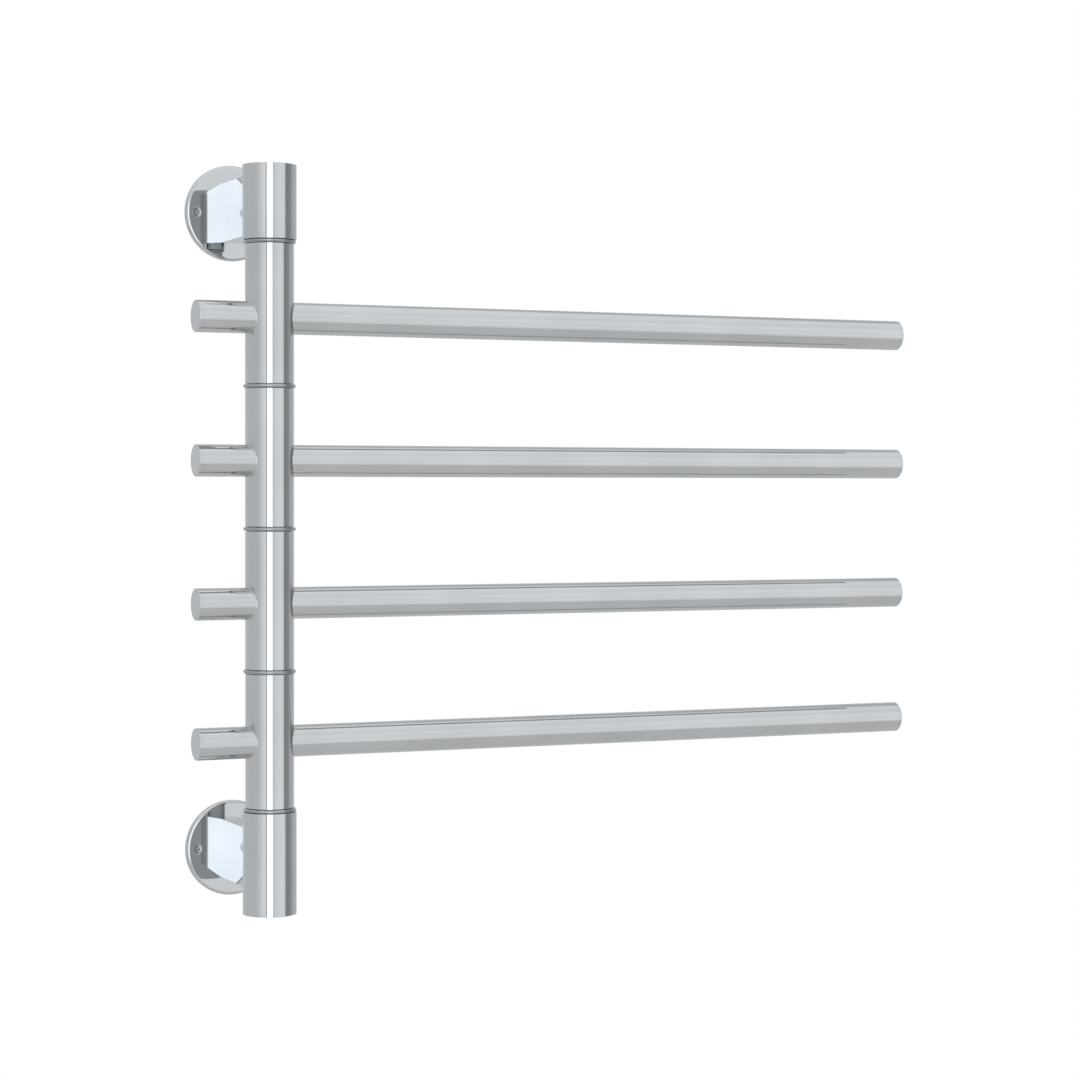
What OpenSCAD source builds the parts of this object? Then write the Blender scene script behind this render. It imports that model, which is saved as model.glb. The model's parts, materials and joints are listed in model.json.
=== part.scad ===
// Wall-mounted swivel towel warmer: a vertical pole of four turning segments, each with a long
// heated arm and a short stub, held between two collars that stand off the wall on flat brackets.
// Millimetres. The wall is the plane Y = 0 and the room is on the -Y side. +X points along the arms
// at rest and +Z is up. The origin is the middle of the rectangle of four wall screws.

/* [Layout] */
// Distance from each joint of the pole to the next one, from the top
segment_pitch = [112, 111, 111, 108]; // [95:0.5:130]
// Height of an arm above the joint at the foot of its segment
arm_above_joint = 53; // [45:0.5:60]
// Distance from the wall to the axis of the pole
pole_offset = 98; // [88:1:110]
// Reach of a towel arm, from the pole's axis to its free end
arm_reach = 570; // [300:5:700]
// Reach of a stub arm, from the pole's axis to its end
stub_reach = 60; // [48:1:68]

/* [Tubes] */
// Outer diameter of the turning segments
segment_d = 38; // [36:1:40]
// Outer diameter of the arms
arm_d = 25; // [20:1:28]
// Outer diameter of the fixed collars
collar_d = 42; // [42:1:46]
// Outer diameter of the fixed core tube
core_d = 25; // [22:1:26]
// Wall of the segments and arms
tube_wall = 1.5; // [1:0.1:2]
// Wall of the collars
collar_wall = 2.5; // [2:0.1:3]
// Wall of the core tube
core_wall = 2; // [1.5:0.1:3]
// Height of the upper collar
upper_collar_h = 58; // [54:1:70]
// Height of the lower collar
lower_collar_h = 80; // [80:1:100]

/* [Joints] */
// Thickness of a ring washer
ring_t = 3; // [2:0.5:5]
// Outer diameter of a ring washer
ring_d = 41; // [40:0.5:42]
// Gap between a segment and the ring washer next to it
ring_gap = 0.3; // [0.2:0.05:0.5]
// Radial running clearance between the core tube and a bush
running_fit = 0.05; // [0.02:0.01:0.1]
// Length of a bush
bush_h = 14; // [8:1:20]
// How far a bush stands out of its segment, towards the ring washer
bush_proud = 0.2; // [0:0.05:0.2]

/* [Wall fixing] */
// Diameter of a wall plate
plate_d = 77; // [74:0.5:90]
// Thickness of a wall plate at its rim
plate_t = 5; // [4:0.5:7]
// Rise of a wall plate's domed face at its centre
plate_dome = 1; // [0.5:0.1:2]
// Distance between the two wall screws of a plate
screw_spacing = 59; // [50:0.5:62]
// Diameter of a wall screw
wall_screw_d = 4.2; // [3.5:0.1:5]
// Length of a wall screw
wall_screw_l = 25; // [20:1:60]
// Thickness of a bracket block, along the wall
bracket_t = 19; // [14:0.5:20]
// Height of a bracket block
bracket_h = 48; // [46:1:52]

/* [Hidden] */
$fn = 96;
arm_count = len(segment_pitch);
cut = 1;                     // how far a cutting shape runs past what it cuts
edge = 0.5;                  // broken edge of a turned part

// Sum of the first n values of a list
function sum_of(values, n) = n == 0 ? 0 : values[n - 1] + sum_of(values, n - 1);

// Heights along the pole: each wall plate is level with the middle of its collar
stack_h = sum_of(segment_pitch, arm_count) + ring_t;
plate_spacing = stack_h + (upper_collar_h + lower_collar_h) / 2;
upper_z = plate_spacing / 2;
lower_z = -plate_spacing / 2;
stack_top = upper_z - upper_collar_h / 2;
stack_bottom = lower_z + lower_collar_h / 2;

// Radii
segment_r = segment_d / 2;
segment_bore = segment_r - tube_wall;
arm_r = arm_d / 2;
arm_bore = arm_r - tube_wall;
collar_r = collar_d / 2;
collar_bore = collar_r - collar_wall;
core_r = core_d / 2;
core_bore = core_r - core_wall;

// Collar inside: plug at the joint end, ring nut behind it, two screws into the bracket
plug_h = 10;
nut_h = 7;
nut_d = 29;
nut_slot = [1, 3];            // depth along the radius, and width
collar_screw_z = 13;
collar_screw_d = 5;
collar_head_d = 8.5;
collar_head_h = 3;
collar_screw_l = 14;
collar_hex_d = 4.6;
collar_hex_depth = 2;
grub_d = 4;
grub_l = 5;
grub_hex_d = 2;
cap_t = 2;
cap_skirt = 1.5;
cap_h = 8;

// Wall plate and bracket
seat_depth = 1;              // how deep a bracket sits in its plate
seat_y = plate_t - seat_depth;
rim_r = 2.5;
dome_fn = 1440;              // the dome's radius is large, so its arc needs many sides
head_r = 4;
wall_hole_d = 4.8;
wall_neck_d = 3.4;
wall_screw_tip = 5;
head_sink = 0.2;             // how far a countersunk head lies below the face
bracket_screw_z = 16;
bracket_screw_d = 5;
bracket_screw_l = 15;
bracket_head_r = 4.5;
recess_w = 0.9;
recess_l = 4.4;
recess_depth = 1.2;
wire_bore_d = 9;
grommet_d = 12;
grommet_bore = 7;

// Arm ends and the heating cable
end_cap_t = 3;
end_cap_edge = 0.5;
spigot_h = 6;
wire_hole_d = 12;
heater_r = 1.6;
heater_bend = 3.6;
heater_start = 26;
heater_end_gap = 20;
heater_lift = 0.1;

// Window in the core tube, where an arm's leads come out and follow it round
window_h = 16;
window_angle = 200;
window_from = -190;

// Wiring in the core and in the lower collar
lead_r = 0.8;
lead_circle = 5;
lead_half_angle = 12;
terminal_size = [26, 12, 13];
terminal_top = lower_z - 17;
terminal_pitch = 8;
terminal_bore_d = 3.4;
terminal_screw_d = 3.6;
terminal_screw_depth = 2;
terminal_slot = [0.8, 1];      // width and depth of the driver slot
fuse_d = 4;
fuse_l = 14;

// Joint k, counted down from the upper collar, is at the middle of its ring washer
function ring_z(k) = stack_top - ring_t / 2 - sum_of(segment_pitch, k - 1);
// Segment i runs from joint i down to joint i + 1, and its arm is above the lower one
function segment_h(i) = segment_pitch[i - 1] - ring_t - 2 * ring_gap;
function segment_mid(i) = (ring_z(i) + ring_z(i + 1)) / 2;
function arm_z(i) = ring_z(i + 1) + arm_above_joint;

module at_pole(z = 0) translate([0, -pole_offset, z]) children();

// Turns a piece made along +Z so that it points away from the wall
module off_wall() rotate([90, 0, 0]) children();

// Turns a piece made along +Z so that it points to the wall
module to_wall() rotate([-90, 0, 0]) children();

// Turns a piece made along +Z so that it points along the arms
module along_x() rotate([0, 90, 0]) children();

module ring(r_out, r_in, h)
    difference() {
        cylinder(r = r_out, h = h);
        translate([0, 0, -cut]) cylinder(r = r_in, h = h + 2 * cut);
    }

// Tube whose outer edges are broken at both ends
module edged_tube(r_out, r_in, h, e)
    rotate_extrude()
        polygon([[r_in, 0], [r_out - e, 0], [r_out, e], [r_out, h - e], [r_out - e, h], [r_in, h]]);

module cross_recess()
    for (a = [0, 90])
        rotate([0, 0, a]) translate([-recess_l / 2, -recess_w / 2, -recess_depth])
            cube([recess_l, recess_w, recess_depth + cut]);

// Countersunk screw: the head's face is at z = 0 and the shank points down. Its thread, of diameter d,
// starts below a thinner neck of length neck_l and ends in a tip.
module countersunk_screw(r_head, d, l, neck_d, neck_l, tip) {
    cone = r_head - neck_d / 2;
    difference() {
        union() {
            translate([0, 0, -cone]) cylinder(r1 = neck_d / 2, r2 = r_head, h = cone);
            translate([0, 0, -neck_l]) cylinder(d = neck_d, h = neck_l - cone);
            translate([0, 0, -(l - tip)]) cylinder(d = d, h = l - tip - neck_l);
            if (tip > 0) translate([0, 0, -l]) cylinder(r1 = d / 8, r2 = d / 2, h = tip);
        }
        cross_recess();
    }
}

// Hole that a countersunk screw sits in, open above z = 0
module countersunk_hole(r_head, d, l) {
    cone = r_head - d / 2;
    translate([0, 0, -cone]) cylinder(r1 = d / 2, r2 = r_head, h = cone);
    cylinder(r = r_head, h = 2 * cut);
    translate([0, 0, -l]) cylinder(d = d, h = l);
}

// ---- Wall plates, brackets and their screws ----

// Domed disc with a rounded rim, its back at z = 0
module wall_plate_blank() {
    r = plate_d / 2;
    dome_r = (r * r + plate_dome * plate_dome) / (2 * plate_dome);
    rotate_extrude() difference() {
        intersection() {
            square([r, plate_t + plate_dome]);
            translate([0, plate_t + plate_dome - dome_r]) circle(r = dome_r, $fn = dome_fn);
        }
        translate([r - rim_r, plate_t - rim_r]) difference() {
            square(rim_r + cut);
            circle(r = rim_r);
        }
    }
}

module wall_plate(z)
    color("silver") translate([0, 0, z]) difference() {
        off_wall() difference() {
            wall_plate_blank();
            translate([-bracket_t / 2, -bracket_h / 2, seat_y]) cube([bracket_t, bracket_h, plate_t]);
            for (x = [-1, 1])
                translate([x * screw_spacing / 2, 0, plate_t - head_sink])
                    countersunk_hole(head_r, wall_hole_d, plate_t + cut);
        }
        for (s = [-1, 1])
            translate([0, -head_sink, s * bracket_screw_z]) to_wall()
                countersunk_hole(bracket_head_r, bracket_screw_d, plate_t + cut);
    }

module upper_wall_plate() wall_plate(upper_z);

module lower_wall_plate()
    difference() {
        wall_plate(lower_z);
        translate([0, cut, lower_z]) off_wall() cylinder(d = grommet_d, h = plate_t + 2 * cut);
    }

module wall_screws()
    color("silver")
        for (z = [upper_z, lower_z], x = [-1, 1])
            translate([x * screw_spacing / 2, head_sink - plate_t, z]) off_wall()
                countersunk_screw(head_r, wall_screw_d, wall_screw_l, wall_neck_d,
                                  plate_t - head_sink, wall_screw_tip);

// The end at the pole is cut to the collar's own curve
module bracket(z)
    color("whitesmoke") difference() {
        translate([-bracket_t / 2, -pole_offset, z - bracket_h / 2])
            cube([bracket_t, pole_offset - seat_y, bracket_h]);
        at_pole(z - bracket_h / 2 - cut) cylinder(r = collar_r, h = bracket_h + 2 * cut);
        for (s = [-1, 1]) {
            translate([0, -head_sink, z + s * bracket_screw_z]) off_wall()
                cylinder(d = bracket_screw_d, h = bracket_screw_l);
            at_pole(z + s * collar_screw_z) to_wall()
                cylinder(d = collar_screw_d, h = collar_bore + collar_screw_l);
        }
    }

module upper_bracket() bracket(upper_z);

module lower_bracket()
    difference() {
        bracket(lower_z);
        at_pole(lower_z) to_wall() cylinder(d = wire_bore_d, h = pole_offset);
    }

module bracket_screws()
    color("silver")
        for (z = [upper_z, lower_z], s = [-1, 1])
            translate([0, -head_sink, z + s * bracket_screw_z]) to_wall()
                countersunk_screw(bracket_head_r, bracket_screw_d, bracket_screw_l, bracket_screw_d,
                                  bracket_head_r, 0);

// ---- Collars, caps and what fills them ----

module collar(z, h)
    color("silver") difference() {
        at_pole(z - h / 2) edged_tube(collar_r, collar_bore, h, edge);
        for (s = [-1, 1]) at_pole(z + s * collar_screw_z) to_wall() {
            cylinder(d = collar_screw_d, h = collar_d);
            cylinder(d = collar_head_d, h = collar_bore);
        }
    }

// Grub screw direction: towards the wall, on the side of the long arms
module at_grub(z) at_pole(z) rotate([0, 0, 45]) along_x() children();

function grub_z(upper) = upper ? stack_top + plug_h / 2 : stack_bottom - plug_h / 2;

module upper_collar()
    difference() {
        collar(upper_z, upper_collar_h);
        at_grub(grub_z(true)) cylinder(d = grub_d, h = collar_d);
    }

module lower_collar()
    difference() {
        collar(lower_z, lower_collar_h);
        at_grub(grub_z(false)) cylinder(d = grub_d, h = collar_d);
        at_pole(lower_z) to_wall() cylinder(d = wire_bore_d, h = collar_d);
    }

module collar_grub_screws()
    color("dimgray")
        for (upper = [true, false]) at_grub(grub_z(upper)) difference() {
            translate([0, 0, collar_r - edge - grub_l]) cylinder(d = grub_d, h = grub_l);
            translate([0, 0, collar_r - edge - grub_l / 2]) cylinder(d = grub_hex_d, h = grub_l, $fn = 6);
        }

module collar_screws()
    color("gray")
        for (z = [upper_z, lower_z], s = [-1, 1]) at_pole(z + s * collar_screw_z) to_wall()
            difference() {
                union() {
                    translate([0, 0, collar_bore - collar_head_h])
                        cylinder(d = collar_head_d, h = collar_head_h);
                    translate([0, 0, collar_bore - cut])
                        cylinder(d = collar_screw_d, h = collar_screw_l + cut);
                }
                translate([0, 0, collar_bore - collar_head_h - cut])
                    cylinder(d = collar_hex_d, h = cut + collar_hex_depth, $fn = 6);
            }

// Cap pushed into a collar's open end, its skirt pointing down and its face at z = 0
module collar_cap()
    color("silver") translate([0, 0, -cap_h]) difference() {
        cylinder(r = collar_bore, h = cap_h);
        translate([0, 0, -cut]) cylinder(r = collar_bore - cap_skirt, h = cap_h - cap_t + cut);
    }

module top_cap() at_pole(upper_z + upper_collar_h / 2) collar_cap();

module bottom_cap() at_pole(lower_z - lower_collar_h / 2) mirror([0, 0, 1]) collar_cap();

module core_plug(upper)
    color("lightsteelblue") difference() {
        at_pole(upper ? stack_top : stack_bottom - plug_h) ring(collar_bore, core_r, plug_h);
        at_grub(grub_z(upper)) cylinder(d = grub_d, h = collar_d);
    }

module upper_core_plug() core_plug(true);

module lower_core_plug() core_plug(false);

// Slim nut with four spanner slots
module ring_nut()
    color("gray") difference() {
        ring(nut_d / 2, core_r, nut_h);
        for (a = [0 : 90 : 270])
            rotate([0, 0, a]) translate([nut_d / 2 - nut_slot.x, -nut_slot.y / 2, -cut])
                cube([nut_slot.x + cut, nut_slot.y, nut_h / 2]);
    }

module upper_ring_nut() at_pole(stack_top + plug_h) ring_nut();

module lower_ring_nut() at_pole(stack_bottom - plug_h - nut_h) ring_nut();

// ---- Core tube and ring washers ----

module core_tube() {
    top = stack_top + plug_h + nut_h + cut;
    bottom = stack_bottom - plug_h - nut_h - cut;
    color("gainsboro") at_pole() difference() {
        translate([0, 0, bottom]) ring(core_r, core_bore, top - bottom);
        for (i = [1 : arm_count])
            translate([0, 0, arm_z(i) - window_h / 2]) rotate([0, 0, window_from])
                rotate_extrude(angle = window_angle)
                    translate([core_bore - cut, 0]) square([core_wall + 2 * cut, window_h]);
    }
}

// Ring washer with a full round edge
module ring_washer(k)
    color("silver") at_pole(ring_z(k)) {
        translate([0, 0, -ring_t / 2]) ring((ring_d - ring_t) / 2, core_r, ring_t);
        rotate_extrude() translate([(ring_d - ring_t) / 2, 0]) intersection() {
            circle(d = ring_t);
            translate([0, -ring_t / 2]) square(ring_t);
        }
    }

// ---- Wiring ----

module cable_grommet()
    color("black") translate([0, 0, lower_z]) off_wall() ring(grommet_d / 2, grommet_bore / 2, seat_y);

module at_terminals() at_pole(terminal_top) children();

module terminal_block()
    color("ivory") at_terminals() difference() {
        translate([-terminal_size.x / 2, -terminal_size.y / 2, -terminal_size.z]) cube(terminal_size);
        for (k = [-1 : 1]) translate([k * terminal_pitch, 0, 0]) {
            translate([0, -terminal_size.y / 2 - cut, -terminal_size.z / 2]) to_wall()
                cylinder(d = terminal_bore_d, h = terminal_size.y + 2 * cut);
            translate([0, 0, -terminal_size.z / 2]) cylinder(d = terminal_screw_d, h = terminal_size.z);
        }
    }

module terminal_screws()
    color("goldenrod") at_terminals()
        for (k = [-1 : 1]) translate([k * terminal_pitch, 0, -terminal_screw_depth]) difference() {
            translate([0, 0, -terminal_screw_d]) cylinder(d = terminal_screw_d, h = terminal_screw_d);
            translate([-terminal_screw_d, -terminal_slot.x / 2, -terminal_slot.y])
                cube([2 * terminal_screw_d, terminal_slot.x, cut + terminal_slot.y]);
        }

module thermal_fuse()
    color("lightgray") at_terminals()
        translate([-fuse_l / 2, 0, -terminal_size.z - fuse_d / 2]) along_x()
            cylinder(d = fuse_d, h = fuse_l);

// A pair of leads for each arm, from the terminal block up to that arm's window
module heater_leads()
    color("firebrick")
        for (i = [1 : arm_count], s = [-1, 1])
            at_pole() rotate([0, 0, 90 * i + s * lead_half_angle])
                translate([lead_circle, 0, terminal_top])
                    cylinder(r = lead_r, h = arm_z(i) - terminal_top);

// ---- The turning arms ----

// Segment i, with the hole where the heating cable's leads enter the long arm
module segment(i)
    color("silver") at_pole(segment_mid(i)) difference() {
        translate([0, 0, -segment_h(i) / 2]) edged_tube(segment_r, segment_bore, segment_h(i), edge);
        translate([0, 0, arm_z(i) - segment_mid(i)]) along_x() cylinder(d = wire_hole_d, h = segment_d);
    }

// Tube along +X whose root is cut to the segment's curve
module arm_tube(reach)
    difference() {
        along_x() cylinder(r = arm_r, h = reach - end_cap_t);
        along_x() cylinder(r = arm_bore, h = reach);
        translate([0, 0, -arm_d]) cylinder(r = segment_r, h = 2 * arm_d);
    }

// Cap with a softened edge and a spigot that fills the tube's bore
module end_cap(reach)
    translate([reach - end_cap_t, 0, 0]) along_x() {
        translate([0, 0, -spigot_h]) cylinder(r = arm_bore, h = spigot_h + cut);
        cylinder(r = arm_r, h = end_cap_t - end_cap_edge);
        cylinder(r = arm_r - end_cap_edge, h = end_cap_t);
        rotate_extrude() translate([arm_r - end_cap_edge, end_cap_t - end_cap_edge])
            circle(r = end_cap_edge);
    }

module at_arm(i) at_pole(arm_z(i)) children();

module long_arm(i) color("silver") at_arm(i) arm_tube(arm_reach);

module stub_arm(i) color("silver") at_arm(i) rotate([0, 0, 180]) arm_tube(stub_reach);

module arm_end_cap(i) color("lightgray") at_arm(i) end_cap(arm_reach);

module stub_end_cap(i) color("lightgray") at_arm(i) rotate([0, 0, 180]) end_cap(stub_reach);

module bush() color("white") ring(segment_bore, core_r + running_fit, bush_h);

module upper_bush(i) at_pole(segment_mid(i) + segment_h(i) / 2 + bush_proud - bush_h) bush();

module lower_bush(i) at_pole(segment_mid(i) - segment_h(i) / 2 - bush_proud) bush();

// Hairpin of heating cable lying along the bottom of the long arm
module heating_cable(i) {
    reach = arm_reach - heater_end_gap;
    sag = sqrt(pow(arm_bore - heater_r - heater_lift, 2) - heater_bend * heater_bend);
    color("orangered") at_arm(i) translate([0, 0, -sag]) {
        for (s = [-1, 1])
            translate([heater_start, s * heater_bend, 0]) along_x()
                cylinder(r = heater_r, h = reach - heater_start);
        translate([reach, 0, 0]) rotate([0, 0, -90]) rotate_extrude(angle = 180)
            translate([heater_bend, 0]) circle(r = heater_r);
    }
}

upper_wall_plate();
lower_wall_plate();
wall_screws();
upper_bracket();
lower_bracket();
bracket_screws();
collar_screws();
upper_collar();
lower_collar();
collar_grub_screws();
top_cap();
bottom_cap();
core_tube();
upper_core_plug();
lower_core_plug();
upper_ring_nut();
lower_ring_nut();
cable_grommet();
terminal_block();
terminal_screws();
thermal_fuse();
heater_leads();

for (k = [1 : arm_count + 1])
    ring_washer(k);

for (i = [1 : arm_count]) {
    segment(i);
    long_arm(i);
    stub_arm(i);
    arm_end_cap(i);
    stub_end_cap(i);
    upper_bush(i);
    lower_bush(i);
    heating_cable(i);
}
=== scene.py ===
"""Wall-mounted swivel towel warmer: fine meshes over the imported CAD, their finishes, the light and
the camera.

Lengths inside the mesh code are millimetres in the CAD frame: the wall is Y = 0, the room is on -Y and
+Z is up. Lengths of the studio are metres.
"""

import json
import math

import bmesh
import bpy
from mathutils import Matrix, Vector


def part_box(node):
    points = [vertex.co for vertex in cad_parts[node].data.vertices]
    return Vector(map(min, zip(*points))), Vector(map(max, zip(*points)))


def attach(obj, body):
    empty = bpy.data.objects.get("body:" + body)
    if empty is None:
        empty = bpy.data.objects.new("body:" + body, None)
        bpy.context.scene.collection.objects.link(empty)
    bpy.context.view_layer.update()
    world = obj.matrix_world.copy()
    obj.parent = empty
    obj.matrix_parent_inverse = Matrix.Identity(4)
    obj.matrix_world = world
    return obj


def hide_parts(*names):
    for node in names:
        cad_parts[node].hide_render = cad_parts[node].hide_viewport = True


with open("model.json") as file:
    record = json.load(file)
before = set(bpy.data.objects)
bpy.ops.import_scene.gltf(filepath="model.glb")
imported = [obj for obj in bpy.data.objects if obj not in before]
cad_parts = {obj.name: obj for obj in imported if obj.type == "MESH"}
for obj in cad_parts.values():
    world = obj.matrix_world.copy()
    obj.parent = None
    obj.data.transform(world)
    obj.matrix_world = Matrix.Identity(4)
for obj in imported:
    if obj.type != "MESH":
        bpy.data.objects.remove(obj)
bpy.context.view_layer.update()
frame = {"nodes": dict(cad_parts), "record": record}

MM = 0.001
ARM_COUNT = 4
RING_COUNT = ARM_COUNT + 1
SIDES = 160                # sides of a large turned surface
SMALL_SIDES = 64           # sides of a screw or a small hole
ARC_STEPS = 6              # steps of a rounded corner
SHARP_ANGLE = math.radians(35)
SAME_POINT = 1e-7          # points closer than this are one, in metres

# Sizes that the boxes of the CAD nodes don't show
SEGMENT_WALL = 1.5
COLLAR_WALL = 2.5
ARM_WALL = 1.5
TURNED_EDGE = 0.25         # edge radius of a segment or collar
CAP_EDGE = 0.5             # edge radius of an arm's end cap
CAP_T = 3.0                # an end cap's thickness outside its tube
SPIGOT_H = 6.0             # an end cap's length inside its tube
SPIGOT_EDGE = 0.4
SEAM_EDGE = 0.08           # softened lip of a tube where its cap begins
WELD = 0.35                # width of the blend where an arm meets its segment
RING_ROUNDING = 0.999      # edge radius of a ring washer, as a share of half its thickness
PLATE_RIM = 2.5            # edge radius of a wall plate
PLATE_RISE = 1.0           # rise of its dome from rim to centre
BLOCK_EDGE = 0.5           # edge radius of a bracket block
GRUB_R = 2.0               # radius of a grub screw's hole

# Cap of a collar
LID_T = 2.0
LID_SKIRT = 1.5
LID_DISH = 0.25            # how far its middle lies below its edge
LID_EDGE = 0.3
LID_FLAT_SHARE = 0.55      # share of the radius where the dish is flat
LID_RIM_SHARE = 0.9        # share of the radius where the rim begins

# Wall screw
HEAD_R = 4.0
HEAD_GAP = 0.15            # clearance round its head
HEAD_SOFT = 0.25           # width of the softened edge of its face
HEAD_SOFT_IN = 0.05        # how far the middle of that edge lies in from the head's side
HEAD_SOFT_DOWN = 0.08      # and below its face
HEAD_RIM = 0.3             # depth below the face at which the cone begins
NECK_R = 1.7
THREAD_PITCH = 1.8
THREAD_CORE_R = 1.45
THREAD_CREST_R = 2.1
THREAD_RIDGE = 0.28        # half width of the ridge, as a share of the pitch
THREAD_TIP = 6.0           # length over which it thins to a point
THREAD_TIP_SHARE = 0.04    # what is left of the radius at the point
THREAD_ROWS_PER_TURN = 12
THREAD_SIDES = 36
CROSS_LENGTH = 4.6         # length of a bar that cuts the cross, at its top
CROSS_WIDTH = 0.95
CROSS_DEPTH = 1.3
CROSS_TAPER = 0.6          # the bar's length at its bottom, as a share of the top


# ---- Mesh tools ----

class Shell:
    """Vertices and faces of one piece, collected in millimetres."""

    def __init__(self):
        self.points = []
        self.faces = []

    def grid(self, rows, closed_rows=False):
        """Joins rings of points, each a closed loop of the same length, into a skin."""
        start = len(self.points)
        count = len(rows[0])
        for row in rows:
            self.points.extend(row)
        last = len(rows) if closed_rows else len(rows) - 1
        for a in range(last):
            b = (a + 1) % len(rows)
            for k in range(count):
                n = (k + 1) % count
                self.faces.append((start + a * count + k, start + a * count + n,
                                   start + b * count + n, start + b * count + k))

    def fan(self, ring, centre):
        """Closes a ring with triangles to one point."""
        start = len(self.points)
        self.points.extend(ring)
        self.points.append(centre)
        count = len(ring)
        for k in range(count):
            self.faces.append((start + k, start + (k + 1) % count, start + count))

    def object(self, name):
        """Makes the Blender object."""
        mesh = bpy.data.meshes.new(name)
        mesh.from_pydata([Vector(p) * MM for p in self.points], [], self.faces)
        mesh.validate()
        piece = bpy.data.objects.new(name, mesh)
        bpy.context.scene.collection.objects.link(piece)
        clean(piece)
        return piece


def clean(piece):
    """Welds doubled points and turns every face outward."""
    work = bmesh.new()
    work.from_mesh(piece.data)
    bmesh.ops.remove_doubles(work, verts=work.verts, dist=SAME_POINT)
    bmesh.ops.recalc_face_normals(work, faces=work.faces)
    work.to_mesh(piece.data)
    work.free()


def smooth(piece):
    """Smooth shading that keeps flats flat: sharp corners split and large faces lead the normals."""
    piece.data.shade_smooth()
    piece.data.set_sharp_from_angle(angle=SHARP_ANGLE)
    weighted = piece.modifiers.new("weighted normals", "WEIGHTED_NORMAL")
    weighted.keep_sharp = True


def cut_away(piece, cutters):
    """Cuts solids out of a piece and removes the cutters."""
    for cutter in cutters:
        cut = piece.modifiers.new("cut", "BOOLEAN")
        cut.operation = "DIFFERENCE"
        cut.solver = "EXACT"
        cut.object = cutter
    bpy.context.view_layer.update()
    evaluated = piece.evaluated_get(bpy.context.evaluated_depsgraph_get())
    result = bpy.data.meshes.new_from_object(evaluated)
    piece.modifiers.clear()
    piece.data = result
    for cutter in cutters:
        bpy.data.objects.remove(cutter)


def rounded(corners):
    """A closed outline from (r, h, radius) corners, each radius drawn as an arc."""
    outline = []
    for k, (r, h, radius) in enumerate(corners):
        here = Vector((r, h))
        if radius == 0:
            outline.append(here)
            continue
        before = (Vector(corners[k - 1][:2]) - here).normalized()
        after = (Vector(corners[(k + 1) % len(corners)][:2]) - here).normalized()
        half = before.angle(after) / 2
        centre = here + (before + after).normalized() * radius / math.sin(half)
        first = (here + before * radius / math.tan(half) - centre).normalized()
        last = (here + after * radius / math.tan(half) - centre).normalized()
        side = (last - first * first.dot(last)).normalized()
        for step in range(ARC_STEPS + 1):
            turn = (math.pi - 2 * half) * step / ARC_STEPS
            outline.append(centre + (first * math.cos(turn) + side * math.sin(turn)) * radius)
    return outline


def axis_frame(origin, along):
    """Matrix that takes a piece turned about +Z to one turned about the direction along."""
    return Matrix.Translation(Vector(origin)) @ Vector(along).to_track_quat("Z", "Y").to_matrix().to_4x4()


def circle(radius, height, place, sides):
    """A ring of points about the place's own Z axis."""
    ring = []
    for k in range(sides):
        turn = 2 * math.pi * k / sides
        ring.append(place @ Vector((radius * math.cos(turn), radius * math.sin(turn), height)))
    return ring


def lathe(shell, outline, place, sides=SIDES):
    """Turns a closed outline of (r, h) points about the place's own Z axis."""
    rows = [circle(p[0], p[1], place, sides) for p in outline]
    shell.grid(rows, closed_rows=True)


def turned(name, outline, origin, along, sides=SIDES):
    """An object turned about the direction along."""
    shell = Shell()
    lathe(shell, outline, axis_frame(origin, along), sides)
    return shell.object(name)


def tube_outline(r_out, r_in, h, edge):
    """Half section of a tube with its outer edges rounded."""
    return rounded([(r_in, 0, 0), (r_out, 0, edge), (r_out, h, edge), (r_in, h, 0)])


def plug(name, radius, origin, along, length, sides=SMALL_SIDES):
    """Plain round cutter."""
    return turned(name, [(0, 0), (radius, 0), (radius, length), (0, length)], origin, along, sides)


# ---- Where things are, from the CAD ----

def box_mm(node):
    """Lowest and highest corners of a CAD node."""
    low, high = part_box(node)
    return low / MM, high / MM


def middle(node):
    low, high = box_mm(node)
    return (low + high) / 2


def height(node):
    low, high = box_mm(node)
    return high.z - low.z


def radius_across(node):
    """Outer radius of a node that is round about a vertical or a Y axis."""
    low, high = box_mm(node)
    return (high.x - low.x) / 2


def finish_piece(piece, body, slot, *nodes):
    """The last steps of every piece: shading, finish, its body and the CAD nodes it stands for."""
    smooth(piece)
    piece.data.materials.clear()
    piece.data.materials.append(FINISHES[slot])
    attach(piece, body)
    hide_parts(*nodes)


POLE = middle("core_tube")
SEGMENT_R = radius_across("segment_1")
ARM_R = height("long_arm_1") / 2
COLLAR_R = radius_across("upper_collar")
RING_R = radius_across("ring_washer_1")
CORE_R = radius_across("core_tube")
ARM_REACH = box_mm("arm_end_cap_1")[1].x
STUB_REACH = -box_mm("stub_end_cap_1")[0].x
SCREW_X = box_mm("wall_screws")[1].x - HEAD_R
UP = (0, 0, 1)
DOWN = (0, 0, -1)
OFF_WALL = (0, -1, 0)
GRUB_SIDE = (1, 1, 0)      # where a collar's grub screw is, towards the wall and the arms


# ---- Finishes ----

NOISE_LOW = 0.3            # almost all of a noise texture's values lie
NOISE_HIGH = 0.7           # between these two
SPOT_EDGE = 0.6            # radius of a spot's solid middle, as a share of the spot
WAVE_PHASE = 20            # phase of the wave texture across one unit of its coordinate, in radians


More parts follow.
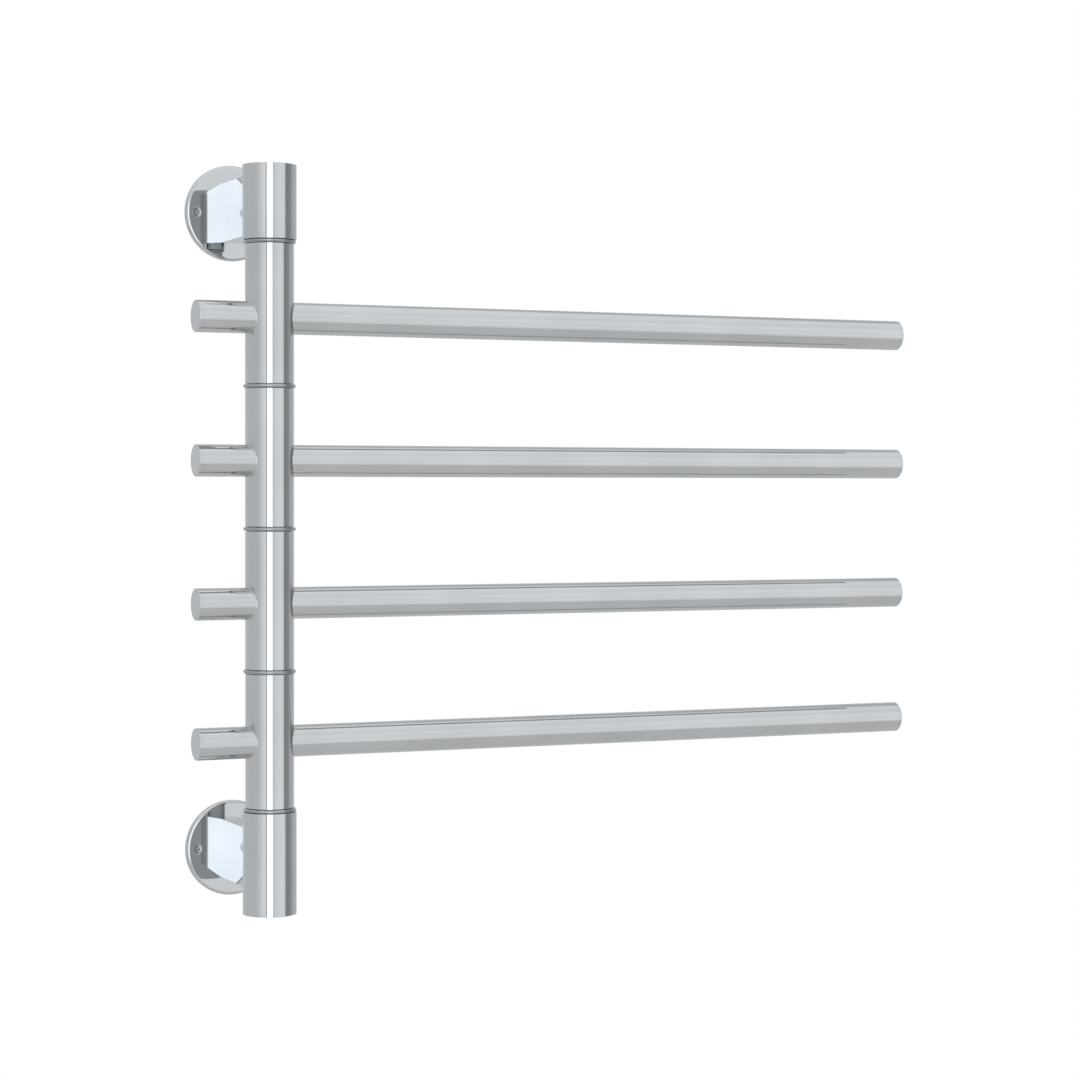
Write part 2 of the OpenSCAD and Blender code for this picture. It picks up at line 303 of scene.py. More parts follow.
class Finish:
    """A Principled material whose colour, roughness and bump come from procedural nodes."""

    def __init__(self, name, metallic=0.0):
        self.material = bpy.data.materials.new(name)
        self.material.use_nodes = True
        self.nodes = self.material.node_tree.nodes
        self.links = self.material.node_tree.links
        self.shader = self.nodes["Principled BSDF"]
        self.shader.inputs["Metallic"].default_value = metallic
        self.place = self.nodes.new("ShaderNodeTexCoord").outputs["Object"]
        self.last_bump = None

    def stretched(self, scale):
        """The object's own coordinates, scaled along each axis."""
        mapping = self.nodes.new("ShaderNodeMapping")
        mapping.inputs["Scale"].default_value = scale
        self.links.new(self.place, mapping.inputs["Vector"])
        return mapping.outputs["Vector"]

    def noise(self, size_mm, detail=4.0, stretch=(1, 1, 1)):
        """Noise with features about size_mm across. A stretch below 1 draws them out on that axis."""
        texture = self.nodes.new("ShaderNodeTexNoise")
        texture.inputs["Scale"].default_value = 1 / (size_mm * MM)
        texture.inputs["Detail"].default_value = detail
        self.links.new(self.stretched(stretch), texture.inputs["Vector"])
        return texture.outputs["Fac"]

    def spots(self, size_mm, share):
        """Small round marks scattered on the surface, 1 inside a mark and 0 outside."""
        texture = self.nodes.new("ShaderNodeTexVoronoi")
        texture.inputs["Scale"].default_value = 1 / (size_mm * MM)
        self.links.new(self.place, texture.inputs["Vector"])
        return self.between(texture.outputs["Distance"], share, share * SPOT_EDGE, 0.0, 1.0)

    def rings(self, pitch_mm, axis, distortion=0.4):
        """Fine turned lines across one axis, pitch_mm apart."""
        wave = self.nodes.new("ShaderNodeTexWave")
        wave.bands_direction = axis
        wave.inputs["Scale"].default_value = 2 * math.pi / (pitch_mm * MM) / WAVE_PHASE
        wave.inputs["Distortion"].default_value = distortion
        wave.inputs["Detail"].default_value = 2.0
        self.links.new(self.place, wave.inputs["Vector"])
        return wave.outputs["Fac"]

    def between(self, value, from_low, from_high, to_low, to_high):
        """Takes one range of values to another, and no further."""
        spread = self.nodes.new("ShaderNodeMapRange")
        spread.inputs["From Min"].default_value = from_low
        spread.inputs["From Max"].default_value = from_high
        spread.inputs["To Min"].default_value = to_low
        spread.inputs["To Max"].default_value = to_high
        self.links.new(value, spread.inputs["Value"])
        return spread.outputs["Result"]

    def grained(self, noise, low, high):
        """The range from low to high, spread over a noise."""
        return self.between(noise, NOISE_LOW, NOISE_HIGH, low, high)

    def largest(self, first, second):
        """The larger of two values."""
        top = self.nodes.new("ShaderNodeMath")
        top.operation = "MAXIMUM"
        self.links.new(first, top.inputs[0])
        self.links.new(second, top.inputs[1])
        return top.outputs[0]

    def colour(self, value, dark, light, low=0.35, high=0.65):
        """Base colour, from dark where the value is low to light where it is high."""
        ramp = self.nodes.new("ShaderNodeValToRGB")
        ramp.color_ramp.elements[0].position = low
        ramp.color_ramp.elements[0].color = (*dark, 1)
        ramp.color_ramp.elements[1].position = high
        ramp.color_ramp.elements[1].color = (*light, 1)
        self.links.new(value, ramp.inputs["Fac"])
        self.links.new(ramp.outputs["Color"], self.shader.inputs["Base Color"])

    def roughness(self, value):
        self.links.new(value, self.shader.inputs["Roughness"])

    def bump(self, value, height_mm):
        """Relief of that height, on top of any relief already there."""
        node = self.nodes.new("ShaderNodeBump")
        node.inputs["Distance"].default_value = height_mm * MM
        self.links.new(value, node.inputs["Height"])
        if self.last_bump:
            self.links.new(self.last_bump, node.inputs["Normal"])
        self.last_bump = node.outputs["Normal"]
        self.links.new(self.last_bump, self.shader.inputs["Normal"])


def chrome(name, dark, light, clean_gloss, handled_gloss, orange_peel_mm):
    """Plated metal: haze from handling, a few dried water spots and the plating's faint waviness.

    The gloss values are roughness, of clean metal and of metal that hands have touched.
    """
    finish = Finish(name, metallic=1.0)
    drift = finish.noise(60)
    handling = finish.noise(28, detail=6)
    water_spots = finish.spots(17, share=0.07)
    orange_peel = finish.noise(9, detail=2)
    polish_lines = finish.noise(0.5, detail=3, stretch=(1, 1, 0.08))
    spot_gloss = handled_gloss * 1.6
    polish_mm = orange_peel_mm * 0.05
    finish.colour(drift, dark, light)
    haze = finish.between(handling, 0.45, 0.75, clean_gloss, handled_gloss)
    marks = finish.between(water_spots, 0, 1, clean_gloss, spot_gloss)
    finish.roughness(finish.largest(haze, marks))
    finish.bump(orange_peel, orange_peel_mm)
    finish.bump(polish_lines, polish_mm)
    return finish.material


def tube_chrome():
    return chrome("tube_chrome", dark=(0.545, 0.553, 0.557), light=(0.582, 0.590, 0.594),
                  clean_gloss=0.03, handled_gloss=0.075, orange_peel_mm=0.0022)


def plate_chrome():
    return chrome("plate_chrome", dark=(0.545, 0.553, 0.557), light=(0.582, 0.590, 0.594),
                  clean_gloss=0.025, handled_gloss=0.06, orange_peel_mm=0.0016)


def block_chrome():
    return chrome("block_chrome", dark=(0.560, 0.575, 0.590), light=(0.600, 0.612, 0.625),
                  clean_gloss=0.025, handled_gloss=0.06, orange_peel_mm=0.0012)


def ring_chrome():
    return chrome("ring_chrome", dark=(0.37, 0.38, 0.385), light=(0.42, 0.43, 0.435),
                  clean_gloss=0.20, handled_gloss=0.30, orange_peel_mm=0.001)


def cap_chrome():
    return chrome("cap_chrome", dark=(0.53, 0.54, 0.55), light=(0.57, 0.58, 0.59),
                  clean_gloss=0.06, handled_gloss=0.12, orange_peel_mm=0.001)


def bare_metal(name, dark, light, gloss, grain_mm, stretch=(1, 1, 1)):
    """Bare metal, whose grain can run along one direction."""
    finish = Finish(name, metallic=1.0)
    grain = finish.noise(grain_mm, detail=5, stretch=stretch)
    finish.colour(grain, dark, light)
    finish.roughness(finish.grained(grain, gloss, gloss + 0.14))
    finish.bump(grain, 0.01)
    return finish.material


def screw_steel():
    return bare_metal("screw_steel", dark=(0.34, 0.35, 0.36), light=(0.43, 0.44, 0.45),
                      gloss=0.08, grain_mm=0.6)


def steel_tube():
    return bare_metal("steel_tube", dark=(0.50, 0.51, 0.52), light=(0.66, 0.67, 0.68),
                      gloss=0.22, grain_mm=0.7, stretch=(1, 1, 0.05))


def zinc_steel():
    finish = Finish("zinc_steel", metallic=1.0)
    finish.colour(finish.noise(5, detail=5), (0.50, 0.50, 0.44), (0.68, 0.68, 0.66))
    finish.roughness(finish.grained(finish.noise(2, detail=4), 0.26, 0.42))
    finish.bump(finish.noise(1.2), 0.01)
    return finish.material


def black_steel():
    finish = Finish("black_steel", metallic=0.9)
    finish.colour(finish.noise(1.5, detail=5), (0.03, 0.03, 0.033), (0.09, 0.09, 0.095))
    finish.roughness(finish.grained(finish.noise(0.8), 0.38, 0.55))
    finish.bump(finish.noise(0.5), 0.008)
    return finish.material


def aluminium():
    finish = Finish("aluminium", metallic=1.0)
    lines = finish.rings(1.57, "Z")
    finish.colour(lines, (0.60, 0.61, 0.62), (0.76, 0.77, 0.78), low=0.1, high=0.9)
    finish.roughness(finish.grained(finish.noise(3), 0.24, 0.36))
    finish.bump(lines, 0.012)
    return finish.material


def fuse_metal():
    return bare_metal("fuse_metal", dark=(0.52, 0.53, 0.54), light=(0.70, 0.71, 0.72),
                      gloss=0.26, grain_mm=0.5, stretch=(0.05, 1, 1))


def terminal_brass():
    finish = Finish("terminal_brass", metallic=1.0)
    finish.colour(finish.noise(1.6, detail=5), (0.48, 0.34, 0.13), (0.74, 0.57, 0.27))
    finish.roughness(finish.grained(finish.noise(0.9), 0.22, 0.38))
    finish.bump(finish.noise(0.4), 0.01)
    return finish.material


def moulded(name, dark, light, grain_mm, gloss, bump_mm):
    """Moulded plastic or rubber with a fine grain and slow colour drift. The gloss is a roughness range."""
    finish = Finish(name)
    drift = finish.noise(grain_mm * 12, detail=5)
    grain = finish.noise(grain_mm, detail=3)
    finish.colour(drift, dark, light)
    finish.roughness(finish.grained(grain, *gloss))
    finish.bump(grain, bump_mm)
    return finish.material


def bush_nylon():
    return moulded("bush_nylon", dark=(0.72, 0.70, 0.62), light=(0.83, 0.81, 0.74),
                   grain_mm=0.5, gloss=(0.38, 0.52), bump_mm=0.02)


def heater_silicone():
    return moulded("heater_silicone", dark=(0.36, 0.09, 0.035), light=(0.50, 0.15, 0.06),
                   grain_mm=0.4, gloss=(0.48, 0.65), bump_mm=0.03)


def lead_insulation():
    return moulded("lead_insulation", dark=(0.36, 0.05, 0.035), light=(0.48, 0.085, 0.055),
                   grain_mm=0.3, gloss=(0.34, 0.48), bump_mm=0.02)


def terminal_plastic():
    return moulded("terminal_plastic", dark=(0.68, 0.65, 0.54), light=(0.80, 0.77, 0.67),
                   grain_mm=0.45, gloss=(0.36, 0.5), bump_mm=0.02)


def grommet_rubber():
    return moulded("grommet_rubber", dark=(0.018, 0.018, 0.019), light=(0.038, 0.038, 0.041),
                   grain_mm=0.35, gloss=(0.5, 0.68), bump_mm=0.03)


# The finish of each material slot in the record
FINISHES = {
    "chrome_tube": tube_chrome(),
    "chrome_plate": plate_chrome(),
    "chrome_bracket": block_chrome(),
    "chrome_ring": ring_chrome(),
    "chrome_cap": cap_chrome(),
    "screw_steel": screw_steel(),
    "steel_tube": steel_tube(),
    "zinc_steel": zinc_steel(),
    "black_steel": black_steel(),
    "aluminium": aluminium(),
    "bush_nylon": bush_nylon(),
    "heater_silicone": heater_silicone(),
    "lead_insulation": lead_insulation(),
    "terminal_plastic": terminal_plastic(),
    "terminal_brass": terminal_brass(),
    "fuse_metal": fuse_metal(),
    "grommet_rubber": grommet_rubber(),
}


# ---- Pole ----

def make_segment(i):
    """Turning segment of the pole, which carries one arm and one stub."""
    node = f"segment_{i}"
    low, high = box_mm(node)
    outline = tube_outline(SEGMENT_R, SEGMENT_R - SEGMENT_WALL, high.z - low.z, TURNED_EDGE)
    piece = turned(f"turning_segment_{i}", outline, (POLE.x, POLE.y, low.z), UP)
    finish_piece(piece, f"arm_{i}", "chrome_tube", node)


def make_ring(k):
    """Ring washer with a full round edge."""
    node = f"ring_washer_{k}"
    low, high = box_mm(node)
    thick = high.z - low.z
    edge = thick / 2 * RING_ROUNDING
    outline = rounded([(CORE_R, 0, 0), (RING_R, 0, edge), (RING_R, thick, edge), (CORE_R, thick, 0)])
    piece = turned(f"joint_ring_{k}", outline, (POLE.x, POLE.y, low.z), UP)
    finish_piece(piece, "root", "chrome_ring", node)


def make_collar(level):
    """Fixed collar, with the hole of its grub screw on the wall side."""
    node = f"{level}_collar"
    low, high = box_mm(node)
    outline = tube_outline(COLLAR_R, COLLAR_R - COLLAR_WALL, high.z - low.z, TURNED_EDGE)
    piece = turned(f"{level}_fixed_collar", outline, (POLE.x, POLE.y, low.z), UP)
    grub_z = middle(f"{level}_core_plug").z
    grub_hole = plug("grub_hole", GRUB_R, (POLE.x, POLE.y, grub_z), GRUB_SIDE, 2 * COLLAR_R)
    cut_away(piece, [grub_hole])
    finish_piece(piece, "root", "chrome_tube", node)


def make_collar_cap(name, node, along):
    """Cap set flush in a collar's open end: a shallow dished face, a small edge and a skirt."""
    low, high = box_mm(node)
    radius = radius_across(node)
    inner = radius - LID_SKIRT
    tall = high.z - low.z
    under = tall - LID_T
    corners = [(0, tall - LID_DISH, 0), (radius * LID_FLAT_SHARE, tall - LID_DISH, 0),
               (radius * LID_RIM_SHARE, tall, LID_EDGE), (radius, tall, LID_EDGE), (radius, 0, 0),
               (inner, 0, 0), (inner, under, 0), (0, under, 0)]
    base = low.z if along == UP else high.z
    piece = turned(name, rounded(corners), (POLE.x, POLE.y, base), along)
    finish_piece(piece, "root", "chrome_cap", node)


# ---- Arms ----

TURNS = [2 * math.pi * k / SIDES for k in range(SIDES)]


def arm_point(x, radius, turn):
    """A point round the X axis."""
    return Vector((x, radius * math.cos(turn), radius * math.sin(turn)))


def on_segment(radius, turn):
    """Where a tube of that radius along X meets the segment's surface."""
    y = radius * math.cos(turn)
    return arm_point(math.sqrt(SEGMENT_R ** 2 - y ** 2), radius, turn)


def weld_row(t):
    """One ring of the small concave blend, from the segment (t = 0) to the arm (t = 1)."""
    row = []
    for turn in TURNS:
        foot = on_segment(ARM_R + WELD, turn)
        corner = on_segment(ARM_R, turn)
        top = corner + Vector((WELD, 0, 0))
        row.append(foot * (1 - t) ** 2 + corner * 2 * t * (1 - t) + top * t ** 2)
    return row


def make_arm(name, node, i, reach, turn_z):
    """Tube cut to the segment's curve at its root, with a weld blend there and a soft lip at its cap."""
    z = middle(node).z
    place = Matrix.Translation((POLE.x, POLE.y, z)) @ Matrix.Rotation(turn_z, 4, "Z")
    inner = ARM_R - ARM_WALL
    end = reach - CAP_T
    rows = [weld_row(step / ARC_STEPS) for step in range(ARC_STEPS + 1)]
    lip_middle = SEAM_EDGE * 0.3
    straight = [(end - SEAM_EDGE, ARM_R), (end - lip_middle, ARM_R - lip_middle), (end, ARM_R - SEAM_EDGE),
                (end, inner)]
    for x, radius in straight:
        rows.append([arm_point(x, radius, turn) for turn in TURNS])
    rows.append([on_segment(inner, turn) for turn in TURNS])
    shell = Shell()
    shell.grid([[place @ p for p in row] for row in rows], closed_rows=True)
    piece = shell.object(name)
    finish_piece(piece, f"arm_{i}", "chrome_tube", node)


def make_end_cap(name, node, i, reach, turn_z):
    """End cap with a softened edge, seated in the tube on a spigot."""
    z = middle(node).z
    along = Matrix.Rotation(turn_z, 3, "Z") @ Vector((1, 0, 0))
    origin = Vector((POLE.x, POLE.y, z)) + along * (reach - CAP_T)
    spigot = ARM_R - ARM_WALL
    corners = [(0, -SPIGOT_H, 0), (spigot, -SPIGOT_H, SPIGOT_EDGE), (spigot, 0, 0), (ARM_R, 0, SEAM_EDGE),
               (ARM_R, CAP_T, CAP_EDGE), (0, CAP_T, 0)]
    piece = turned(name, rounded(corners), origin, along)
    finish_piece(piece, f"arm_{i}", "chrome_cap", node)


# ---- Wall fixing ----

def plate_outline(radius, rim_h):
    """Half section of a domed plate with a rounded rim."""
    dome_steps = 40
    rim_steps = 10
    dome_r = radius - PLATE_RIM
    dome = []
    for step in range(dome_steps + 1):
        r = dome_r * step / dome_steps
        dome.append((r, rim_h + PLATE_RISE * (1 - (r / radius) ** 2)))
    rim_top = dome[-1][1]
    rim = []
    for step in range(1, rim_steps + 1):
        turn = math.pi / 2 * step / rim_steps
        rim.append((dome_r + PLATE_RIM * math.sin(turn), rim_top - PLATE_RIM * (1 - math.cos(turn))))
    return [(0, 0)] + dome + rim + [(radius, 0)]


def make_plate(level):
    """Wall plate, drilled for its two wall screws, and for the grommet on the lower one."""
    node = f"{level}_wall_plate"
    low, high = box_mm(node)
    centre = middle(node)
    radius = radius_across(node)
    rim_h = high.y - low.y - PLATE_RISE
    back = Vector((centre.x, high.y, centre.z))
    behind = 1             # a cutter starts this far behind the plate
    piece = turned(f"{level}_plate", plate_outline(radius, rim_h), back, OFF_WALL)
    cutters = []
    for side in (-1, 1):
        spot = Vector((side * SCREW_X, behind, centre.z))
        cutters.append(plug("screw_hole", HEAD_R + HEAD_GAP, spot, OFF_WALL, 2 * rim_h))
    if level == "lower":
        spot = Vector((0, behind, centre.z))
        cutters.append(plug("grommet_hole", radius_across("cable_grommet"), spot, OFF_WALL, rim_h))
    cut_away(piece, cutters)
    finish_piece(piece, "root", "chrome_plate", node)


def make_bracket(level):
    """Flat block from the plate to the collar, its end cut to the collar's curve."""
    node = f"{level}_bracket"
    low, high = box_mm(node)
    half = (high.x - low.x) / 2
    saddle_steps = 24
    saddle = []
    for step in range(saddle_steps + 1):
        x = half - 2 * half * step / saddle_steps
        saddle.append((x, POLE.y + math.sqrt(COLLAR_R ** 2 - x ** 2)))
    outline = [(-half, high.y), (half, high.y)] + saddle
    shell = Shell()
    count = len(outline)
    shell.points = [Vector((x, y, z)) for z in (low.z, high.z) for x, y in outline]
    shell.faces = [tuple(range(count)), tuple(range(count, 2 * count))]
    for k in range(count):
        n = (k + 1) % count
        shell.faces.append((k, n, count + n, count + k))
    piece = shell.object(f"{level}_block")
    bevel = piece.modifiers.new("edges", "BEVEL")
    bevel.width = BLOCK_EDGE * MM
    bevel.segments = 4
    bevel.angle_limit = math.radians(40)
    finish_piece(piece, "root", "chrome_bracket", node)


def cross_cutters(place):
    """Two tapered bars that cut a driver recess into a screw head."""
    above = 1              # how far they stand out of the head
    corners = [(-1, -1), (1, -1), (1, 1), (-1, 1)]
    cutters = []
    for turn in (0, math.pi / 2):
        bar = Shell()
        spin = place @ Matrix.Rotation(turn, 4, "Z")
        rows = []
        for z, share in ((-CROSS_DEPTH, CROSS_TAPER), (above, 1)):
            half_length = CROSS_LENGTH / 2 * share
            rows.append([spin @ Vector((x * half_length, y * CROSS_WIDTH / 2, z)) for x, y in corners])
        bar.grid(rows)
        bar.faces.append((3, 2, 1, 0))
        bar.faces.append((4, 5, 6, 7))
        cutters.append(bar.object("cross_bar"))
    return cutters


def thread_rows(place, start, end):
    """Rings of a coarse wood-screw thread that thins to a point over its last part."""
    count = int((start - end) / THREAD_PITCH * THREAD_ROWS_PER_TURN)
    rows = []
    for row in range(count + 1):
        z = start + (end - start) * row / count
        thin = min(1.0, max(THREAD_TIP_SHARE, (z - end) / THREAD_TIP))
        fade_in = min(1.0, (start - z) / THREAD_PITCH)
        ring = []
        for k in range(THREAD_SIDES):
            turn = 2 * math.pi * k / THREAD_SIDES
            phase = (z / THREAD_PITCH - k / THREAD_SIDES) % 1.0
            ridge = max(0.0, 1 - abs(phase - 0.5) / THREAD_RIDGE) * fade_in
            r = (THREAD_CORE_R + (THREAD_CREST_R - THREAD_CORE_R) * ridge) * thin
            ring.append(place @ Vector((r * math.cos(turn), r * math.sin(turn), z)))
        rows.append(ring)
    return rows


def wall_screw(x, z, face_y, length):
    """Countersunk wood screw: head with a cross recess, plain neck and a coarse thread."""
    place = axis_frame((x, face_y, z), OFF_WALL)
    neck_l = -face_y
    cone = HEAD_R - NECK_R
    soft_edge = [(HEAD_R - HEAD_SOFT, 0), (HEAD_R - HEAD_SOFT_IN, -HEAD_SOFT_DOWN), (HEAD_R, -HEAD_RIM)]
    head = [(0, 0), *soft_edge, (NECK_R, -cone - HEAD_RIM), (NECK_R, -neck_l), (0, -neck_l)]
    piece = turned("wall_screw", head, (x, face_y, z), OFF_WALL, SMALL_SIDES)
    cut_away(piece, cross_cutters(place))
    shaft = Shell()
    rows = thread_rows(place, -neck_l, -length)
    shaft.grid(rows)
    shaft.fan(rows[0], place @ Vector((0, 0, -neck_l)))
    shaft.fan(rows[-1], place @ Vector((0, 0, -length)))
    return [piece, shaft.object("wall_screw_shaft")]


def joined(pieces, name):
    """Several meshes as one piece."""
    bpy.ops.object.select_all(action="DESELECT")
    for piece in pieces:
        piece.select_set(True)
    bpy.context.view_layer.objects.active = pieces[0]
    bpy.ops.object.join()
    pieces[0].name = name
    return pieces[0]


def make_wall_screws():
    """The four wall screws, as one piece."""
    low, high = box_mm("wall_screws")
    pieces = []
    for level in ("upper", "lower"):
        z = middle(f"{level}_wall_plate").z
        for side in (-1, 1):
            pieces += wall_screw(side * SCREW_X, z, low.y, high.y - low.y)
    piece = joined(pieces, "wall_screw_set")
    finish_piece(piece, "root", "screw_steel", "wall_screws")


for level in ("upper", "lower"):
    make_plate(level)
    make_bracket(level)
    make_collar(level)
make_wall_screws()
make_collar_cap("top_plug", "top_cap", UP)
make_collar_cap("bottom_plug", "bottom_cap", DOWN)
for k in range(1, RING_COUNT + 1):
    make_ring(k)
for i in range(1, ARM_COUNT + 1):
    make_segment(i)
    make_arm(f"towel_arm_{i}", f"long_arm_{i}", i, ARM_REACH, 0)
    make_arm(f"short_arm_{i}", f"stub_arm_{i}", i, STUB_REACH, math.pi)
    make_end_cap(f"towel_arm_cap_{i}", f"arm_end_cap_{i}", i, ARM_REACH, 0)
    make_end_cap(f"short_arm_cap_{i}", f"stub_end_cap_{i}", i, STUB_REACH, math.pi)


# ---- Finishes of the CAD nodes that stay: the inner works and small screws ----

def dress_cad_nodes():
    """Gives each CAD node that is still seen the finish of its slot."""
    slots = {row["node"]: row["material_slot"] for row in frame["record"]["subparts"]}
    for name, node in frame["nodes"].items():
        if node.hide_render:
            continue
        node.data.materials.clear()
        node.data.materials.append(FINISHES[slots[name]])


dress_cad_nodes()


# ---- Studio ----

# Angles of the camera in radians. The yaw turns it from straight at the wall towards the arms.
CAMERA_YAW = 0.4286
CAMERA_PITCH = -0.0213
CAMERA_ROLL = -0.0018
CAMERA_SPOT = (-0.6825, -2.0985, 0.0400)
CAMERA_LENS = 90.02

FLOOR_Z = -1.6
FLOOR_R = 3.5

# Brightness of the studio round the object, as (degrees, brightness). The angle is measured at the
# horizon from the camera's side, positive towards the towel arms. The two dark parts are flags, which
# give the chrome its dark lines.
STUDIO_ROUND = [(-180, 0.62), (-60, 0.62), (-47, 0.66), (-33, 0.79), (-20, 0.92), (-11, 0.95), (-9, 0.36),
                (-6, 0.36), (-5, 0.90), (19, 0.72), (26, 0.80), (34, 0.87), (60, 0.93), (74, 0.86),
                (78, 0.31), (90, 0.29), (109, 0.36), (115, 0.5), (180, 0.62)]
# Brightness of the studio by elevation, as (degrees, brightness)
STUDIO_RISE = [(-90, 0.73), (-50, 0.70), (-30, 0.74), (-17, 1.12), (-8, 1.18), (12, 1.16), (24, 1.22),
               (45, 1.02), (60, 1.08), (75, 1.14), (90, 1.12)]
STUDIO_TINT = (0.972, 1.0, 1.025)
# STUDIO_ROUND counts in full up to the first elevation and not at all from the second, in degrees.
# Away from the camera both lie higher, by up to ROUND_EXTRA.
ROUND_FULL = 25
ROUND_NONE = 50
ROUND_EXTRA = 35


def make_camera():
    """The camera's place, direction and lens."""
    data = bpy.data.cameras.new("camera")
    data.sensor_width = 36
    data.lens = CAMERA_LENS
    data.clip_start = 0.01
    camera = bpy.data.objects.new("camera", data)
    bpy.context.scene.collection.objects.link(camera)
    forward = Vector((math.sin(CAMERA_YAW) * math.cos(CAMERA_PITCH),
                      math.cos(CAMERA_YAW) * math.cos(CAMERA_PITCH), math.sin(CAMERA_PITCH)))
    level_right = Vector((math.cos(CAMERA_YAW), -math.sin(CAMERA_YAW), 0))
    down = -level_right.cross(forward)
    right = math.cos(CAMERA_ROLL) * level_right + math.sin(CAMERA_ROLL) * down
    up = math.sin(CAMERA_ROLL) * level_right - math.cos(CAMERA_ROLL) * down
    turn = Matrix((right, up, -forward)).transposed()
    camera.matrix_world = Matrix.Translation(CAMERA_SPOT) @ turn.to_4x4()
    bpy.context.scene.camera = camera


def make_floor():
    """Plain pale floor, well below the object."""
    centre = Vector((0, 0, FLOOR_Z / MM))
    shell = Shell()
    shell.fan(circle(FLOOR_R / MM, 0, Matrix.Translation(centre), SIDES), centre)
    floor = shell.object("floor")
    finish = Finish("pale_floor")
    finish.colour(finish.noise(900, detail=1), (0.752, 0.740, 0.731), (0.766, 0.754, 0.745))
    finish.roughness(finish.between(finish.noise(20), 0, 1, 0.6, 0.8))
    floor.data.materials.append(finish.material)


def make_softbox(angle_from_camera, distance, z, width, tall, radiance, colour):
    """Tall soft light that faces the pole, at an angle in degrees measured as in STUDIO_ROUND."""
    data = bpy.data.lights.new("softbox", "AREA")
    data.shape = "RECTANGLE"
    data.size = width
    data.size_y = tall
    data.energy = radiance * math.pi * width * tall
    data.color = colour
    light = bpy.data.objects.new("softbox", data)
    bpy.context.scene.collection.objects.link(light)
    turn = CAMERA_YAW - math.radians(angle_from_camera)
    away = Vector((-math.sin(turn), -math.cos(turn), 0))
    pole = POLE * MM
    light.location = Vector((pole.x, pole.y, z)) + away * distance
    light.rotation_mode = "QUATERNION"
    light.rotation_quaternion = away.to_track_quat("Z", "Y")
    light.visible_camera = False


def world_ramp(nodes, links, value, stops):
    """Brightness along a range of angles, from its list of (degrees, brightness)."""
    low = stops[0][0]
    high = stops[-1][0]
    to_unit = nodes.new("ShaderNodeMapRange")
    to_unit.inputs["From Min"].default_value = math.radians(low)
    to_unit.inputs["From Max"].default_value = math.radians(high)
    links.new(value, to_unit.inputs["Value"])
    ramp = nodes.new("ShaderNodeValToRGB")
    elements = ramp.color_ramp.elements
    while len(elements) > 1:
        elements.remove(elements[-1])
    for k, (angle, brightness) in enumerate(stops):
        where = (angle - low) / (high - low)
        element = elements[0] if k == 0 else elements.new(where)
        element.position = where
        element.color = (brightness, brightness, brightness, 1)
    links.new(to_unit.outputs["Result"], ramp.inputs["Fac"])
    return ramp.outputs["Color"]


def world_math(nodes, links, operation, *inputs):
    """One step of arithmetic on sockets and numbers."""
    node = nodes.new("ShaderNodeMath")
    node.operation = operation
    for socket, value in zip(node.inputs, inputs):
        if isinstance(value, (int, float)):
            socket.default_value = value
        else:
            links.new(value, socket)
    return node.outputs[0]


def world_dot(nodes, links, direction, fixed):
    """How far a direction lies along a fixed one."""
    node = nodes.new("ShaderNodeVectorMath")
    node.operation = "DOT_PRODUCT"
    links.new(direction, node.inputs[0])
    node.inputs[1].default_value = fixed
    return node.outputs["Value"]


def world_mix(nodes, blend_type):
    """A colour mix node, at full strength until its factor is linked."""
    node = nodes.new("ShaderNodeMix")
    node.data_type = "RGBA"
    node.blend_type = blend_type
    node.inputs["Factor"].default_value = 1
    return node


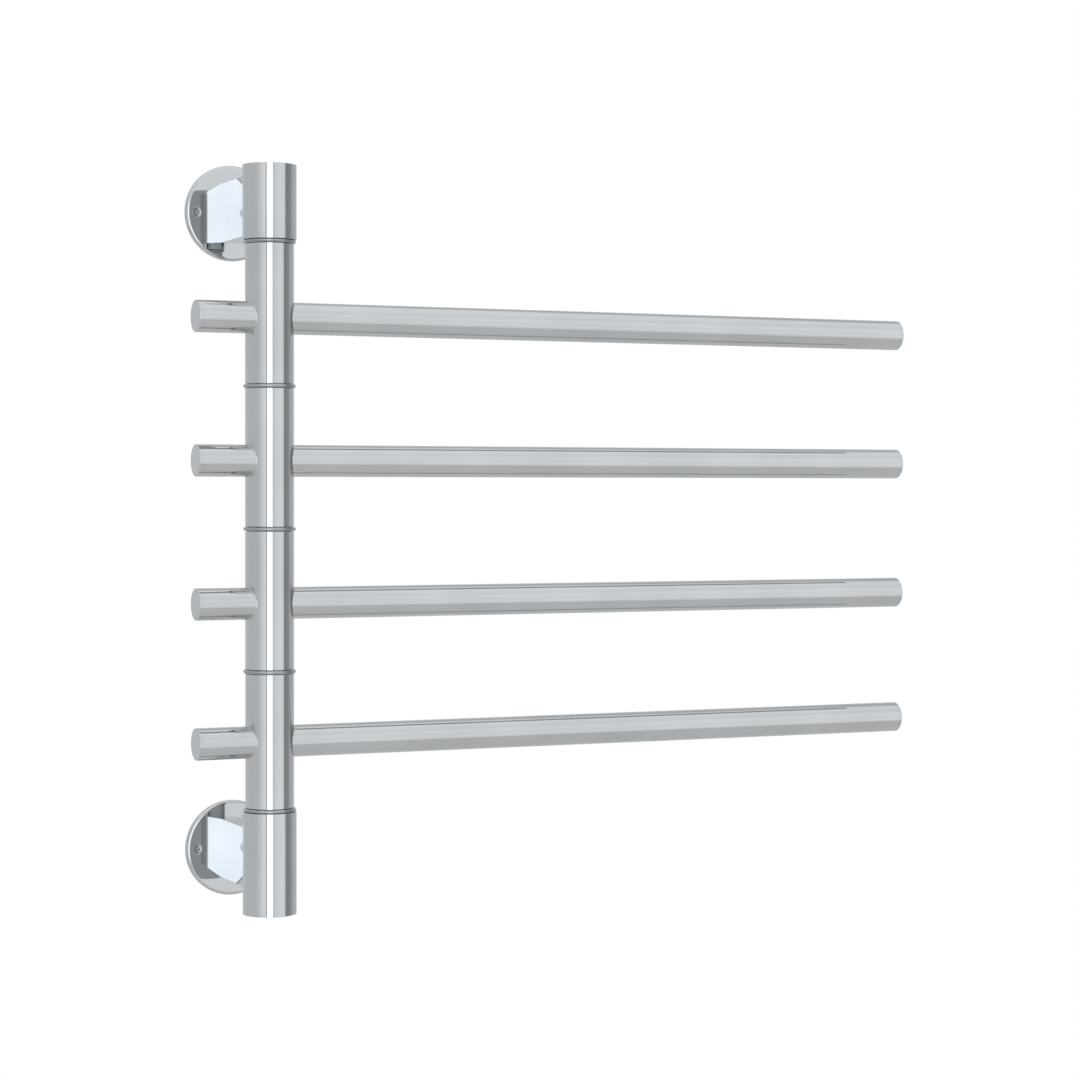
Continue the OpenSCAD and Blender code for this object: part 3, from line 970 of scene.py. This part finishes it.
def studio_brightness(nodes, links, direction):
    """STUDIO_ROUND times STUDIO_RISE, with the first fading out at steep elevations."""
    to_camera = (-math.sin(CAMERA_YAW), -math.cos(CAMERA_YAW), 0)
    to_right = (math.cos(CAMERA_YAW), -math.sin(CAMERA_YAW), 0)
    facing = world_dot(nodes, links, direction, to_camera)
    angle = world_math(nodes, links, "ARCTAN2", world_dot(nodes, links, direction, to_right), facing)
    rise = world_math(nodes, links, "ARCSINE", world_dot(nodes, links, direction, (0, 0, 1)))
    behind = world_math(nodes, links, "MINIMUM", facing, 0.0)
    extra = world_math(nodes, links, "MULTIPLY", behind, math.radians(ROUND_EXTRA))
    steepness = world_math(nodes, links, "ADD", world_math(nodes, links, "ABSOLUTE", rise), extra)
    share = nodes.new("ShaderNodeMapRange")
    share.inputs["From Min"].default_value = math.radians(ROUND_NONE)
    share.inputs["From Max"].default_value = math.radians(ROUND_FULL)
    links.new(steepness, share.inputs["Value"])
    faded = world_mix(nodes, "MIX")
    faded.inputs["A"].default_value = (1, 1, 1, 1)
    links.new(share.outputs["Result"], faded.inputs["Factor"])
    links.new(world_ramp(nodes, links, angle, STUDIO_ROUND), faded.inputs["B"])
    product = world_mix(nodes, "MULTIPLY")
    links.new(world_ramp(nodes, links, rise, STUDIO_RISE), product.inputs["A"])
    links.new(faded.outputs["Result"], product.inputs["B"])
    return product.outputs["Result"]


def make_world():
    """White behind the object, and soft grey studio walls in what the chrome reflects."""
    world = bpy.data.worlds.new("studio")
    bpy.context.scene.world = world
    world.use_nodes = True
    nodes = world.node_tree.nodes
    links = world.node_tree.links
    nodes.clear()
    direction = nodes.new("ShaderNodeTexCoord").outputs["Generated"]
    tinted = world_mix(nodes, "MULTIPLY")
    tinted.inputs["B"].default_value = (*STUDIO_TINT, 1)
    links.new(studio_brightness(nodes, links, direction), tinted.inputs["A"])
    studio = nodes.new("ShaderNodeBackground")
    links.new(tinted.outputs["Result"], studio.inputs["Color"])
    white = nodes.new("ShaderNodeBackground")
    white.inputs["Color"].default_value = (1, 1, 1, 1)
    pick = nodes.new("ShaderNodeMixShader")
    links.new(nodes.new("ShaderNodeLightPath").outputs["Is Camera Ray"], pick.inputs["Fac"])
    links.new(studio.outputs["Background"], pick.inputs[1])
    links.new(white.outputs["Background"], pick.inputs[2])
    links.new(pick.outputs["Shader"], nodes.new("ShaderNodeOutputWorld").inputs["Surface"])


make_camera()
make_floor()
make_softbox(angle_from_camera=6.75, distance=3.2, z=-0.1, width=1.39, tall=2.2, radiance=1.45,
             colour=(0.86, 0.92, 1.0))
make_world()
bpy.context.scene.view_settings.view_transform = "Standard"
